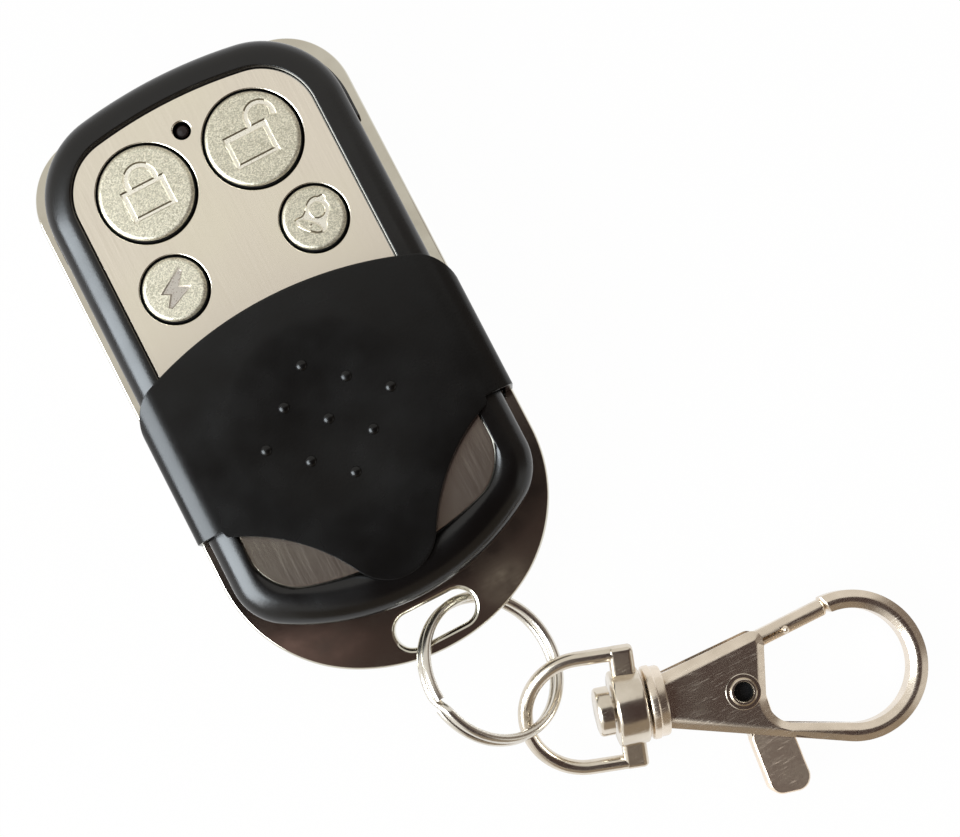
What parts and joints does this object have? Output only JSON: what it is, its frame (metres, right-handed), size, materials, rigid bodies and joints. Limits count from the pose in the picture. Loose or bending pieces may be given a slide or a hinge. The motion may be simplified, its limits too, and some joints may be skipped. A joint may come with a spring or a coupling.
{
  "type": "alarm key fob",
  "caption": "Handheld alarm remote with push buttons under a sliding cover, a chrome back shell with a key slot, a split ring and a swivel lobster clasp.",
  "frame": {"origin": "on the flat back face, on the centre line, halfway between the button end and the loop end of the case", "axes": "+Z out of the back and up through the buttons, +Y from the key loop to the button end, +X to the right with the buttons facing the viewer"},
  "size_m": [0.0572, 0.0877, 0.0143],
  "materials": {
    "chrome_shell": "mirror",
    "black_plastic": "satin",
    "brushed_plate": "brushed",
    "silver_paint": "metallic paint",
    "nickel": "polished",
    "steel": "satin",
    "board": "satin",
    "chip": "matte",
    "copper": "polished",
    "ceramic": "matte",
    "led_lens": "gloss",
    "cell_jacket": "satin"
  },
  "bodies": {
    "fob": {"rear_shell": "chrome_shell", "case_screws": "steel", "front_bezel": "black_plastic", "face_plate": "brushed_plate", "lock_switch": "chip", "unlock_switch": "chip", "bolt_switch": "chip", "bell_switch": "chip", "circuit_board": "board", "encoder_chip": "chip", "saw_resonator": "steel", "rf_transistor": "chip", "antenna_coil": "copper", "capacitors": "ceramic", "resistors": "chip", "indicator_led": "led_lens", "battery": "cell_jacket", "battery_spring": "steel", "negative_contact": "steel", "positive_contact": "steel"},
    "lock": {"lock_button": "silver_paint", "lock_plunger": "black_plastic"},
    "unlock": {"unlock_button": "silver_paint", "unlock_plunger": "black_plastic"},
    "bolt": {"bolt_button": "silver_paint", "bolt_plunger": "black_plastic"},
    "bell": {"bell_button": "silver_paint", "bell_plunger": "black_plastic"},
    "cover": {"slide_cover": "black_plastic"},
    "ring": {"key_ring": "nickel"},
    "eye": {"clasp_eye": "nickel"},
    "clasp": {"swivel_pin": "nickel", "clasp_body": "nickel", "clasp_rivet": "nickel"},
    "lever": {"clasp_lever": "nickel", "lever_spring": "steel"}
  },
  "joints": [
    {"name": "lock_press", "type": "slide", "parent": "fob", "child": "lock", "axis": [0, 0, -1], "range_m": [0, 0.00035], "stiffness_N_per_m": 3000, "springref_m": -0.0001},
    {"name": "unlock_press", "type": "slide", "parent": "fob", "child": "unlock", "axis": [0, 0, -1], "range_m": [0, 0.00035], "stiffness_N_per_m": 3000, "springref_m": -0.0001},
    {"name": "bolt_press", "type": "slide", "parent": "fob", "child": "bolt", "axis": [0, 0, -1], "range_m": [0, 0.00035], "stiffness_N_per_m": 3000, "springref_m": -0.0001},
    {"name": "bell_press", "type": "slide", "parent": "fob", "child": "bell", "axis": [0, 0, -1], "range_m": [0, 0.00035], "stiffness_N_per_m": 3000, "springref_m": -0.0001},
    {"name": "cover_slide", "type": "slide", "parent": "fob", "child": "cover", "axis": [0, 1, 0], "range_m": [0, 0.021]},
    {"name": "ring_swing", "type": "hinge", "parent": "fob", "child": "ring", "pos_m": [0, -0.0299, 0.006], "axis": [-1, 0, 0], "range_deg": [0, 60]},
    {"name": "eye_swing", "type": "hinge", "parent": "ring", "child": "eye", "pos_m": [0.00585, -0.04021, 0.00376], "axis": [-0.6585, -0.5099, 0.5535], "range_deg": [-20, 45]},
    {"name": "clasp_swivel", "type": "hinge", "parent": "eye", "child": "clasp", "pos_m": [0.01238, -0.04342, 0.00408], "axis": [0.9561, -0.2832, -0.075], "continuous": true},
    {"name": "lever_open", "type": "hinge", "parent": "clasp", "child": "lever", "pos_m": [0.02259, -0.04685, 0.00327], "axis": [-0.0719, 0.0213, -0.9972], "range_deg": [0, 25], "stiffness_Nm_per_rad": 0.008, "springref_deg": -17.19}
  ]
}
